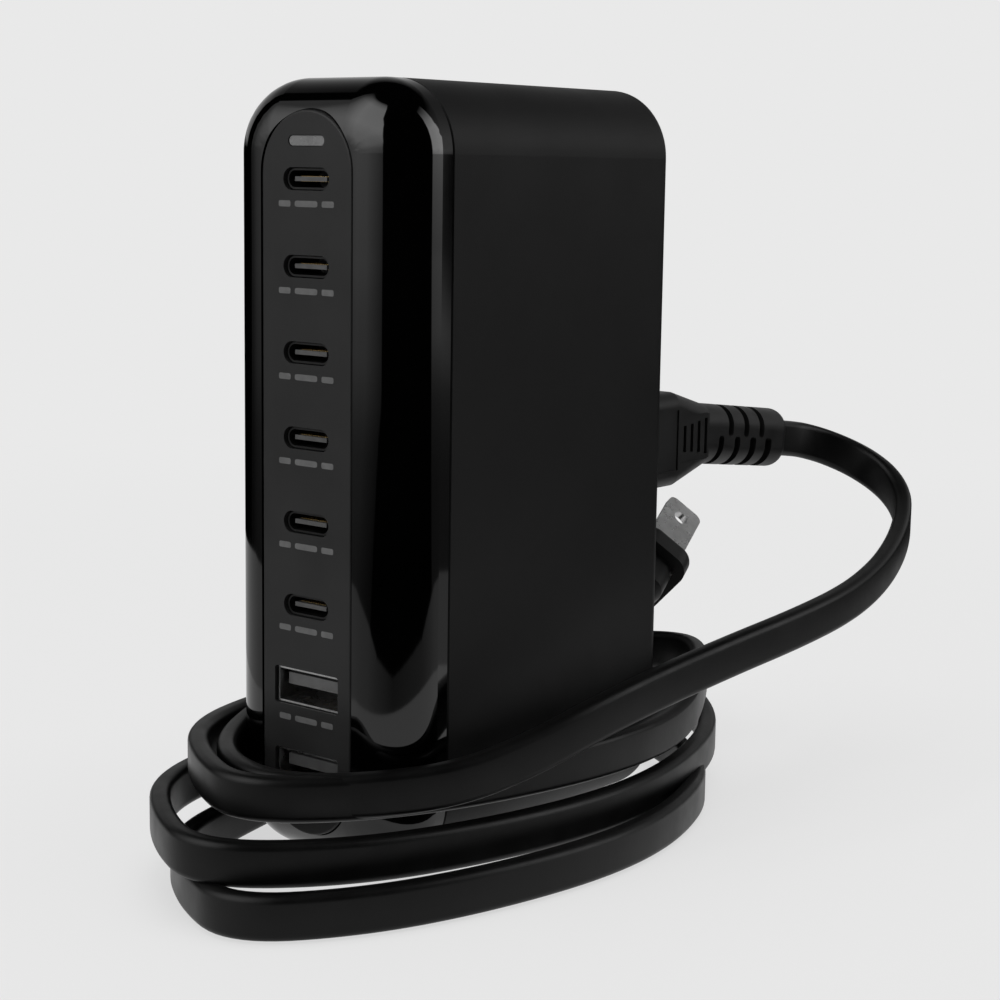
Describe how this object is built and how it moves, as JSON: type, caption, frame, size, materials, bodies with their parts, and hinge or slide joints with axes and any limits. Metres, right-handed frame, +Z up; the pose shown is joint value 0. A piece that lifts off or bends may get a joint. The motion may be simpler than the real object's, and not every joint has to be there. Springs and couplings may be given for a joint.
{
  "type": "multi port usb desktop charger",
  "caption": "Upright desktop charger with a gloss front housing, a pill-shaped panel of USB-C and USB-A sockets, a matte sleeve and a coiled flat mains lead with its plug.",
  "frame": {"origin": "centre of the charger's footprint, on the surface it stands on", "axes": "+Z up, -Y out of the port panel, +Y towards the power inlet, +X to the right when looking along +Y at the ports"},
  "size_m": [0.0746, 0.1774, 0.124],
  "materials": {
    "gloss_housing": "polished black",
    "port_panel": "fine matte, dark grey",
    "matte_housing": "fine spark-eroded matte black",
    "light_window": "milky",
    "led": "clear",
    "foot_rubber": "matte",
    "inlet_moulding": "moulded black",
    "pin_metal": "plated",
    "dark_shell": "dark coated",
    "dark_tongue": "moulded",
    "steel_shell": "plated",
    "grey_tongue": "moulded",
    "contact_gold": "gold plated",
    "capacitor_can": "sleeved",
    "circuit_board": "green solder mask",
    "steel_screw": "plated",
    "inner_moulding": "natural",
    "ferrite": "sintered",
    "winding_tape": "taped",
    "fuse_glass": "capped",
    "aluminium_sheet": "mill finish",
    "cord_moulding": "soft matte",
    "blade_metal": "nickel plated",
    "cord_jacket": "soft matte"
  },
  "bodies": {
    "root": {"board_link": "inner_moulding", "board_screws": "steel_screw", "board_standoffs": "inner_moulding", "bulk_capacitor_1": "capacitor_can", "bulk_capacitor_2": "capacitor_can", "connector_contacts": "pin_metal", "cord_coil": "cord_jacket", "cord_connector": "cord_moulding", "cord_lead": "cord_jacket", "cord_tail": "cord_jacket", "front_foot": "foot_rubber", "front_housing": "gloss_housing", "fuse": "fuse_glass", "heat_spreader": "aluminium_sheet", "indicator_led": "led", "inlet_pins": "pin_metal", "input_choke": "ferrite", "main_board": "circuit_board", "main_sleeve": "matte_housing", "plug_blades": "blade_metal", "plug_body": "cord_moulding", "port_board": "circuit_board", "port_panel": "port_panel", "power_inlet": "inlet_moulding", "rear_cover": "matte_housing", "rear_foot": "foot_rubber", "status_light_lens": "light_window", "transformer_core": "ferrite", "transformer_winding": "winding_tape", "usb_a_contacts_1": "contact_gold", "usb_a_contacts_2": "contact_gold", "usb_a_shell_1": "steel_shell", "usb_a_shell_2": "steel_shell", "usb_a_tongue_1": "grey_tongue", "usb_a_tongue_2": "grey_tongue", "usb_c_contacts_1": "contact_gold", "usb_c_contacts_2": "contact_gold", "usb_c_contacts_3": "contact_gold", "usb_c_contacts_4": "contact_gold", "usb_c_contacts_5": "contact_gold", "usb_c_contacts_6": "contact_gold", "usb_c_shell_1": "dark_shell", "usb_c_shell_2": "dark_shell", "usb_c_shell_3": "dark_shell", "usb_c_shell_4": "dark_shell", "usb_c_shell_5": "dark_shell", "usb_c_shell_6": "dark_shell", "usb_c_tongue_1": "dark_tongue", "usb_c_tongue_2": "dark_tongue", "usb_c_tongue_3": "dark_tongue", "usb_c_tongue_4": "dark_tongue", "usb_c_tongue_5": "dark_tongue", "usb_c_tongue_6": "dark_tongue"}
  },
  "joints": []
}
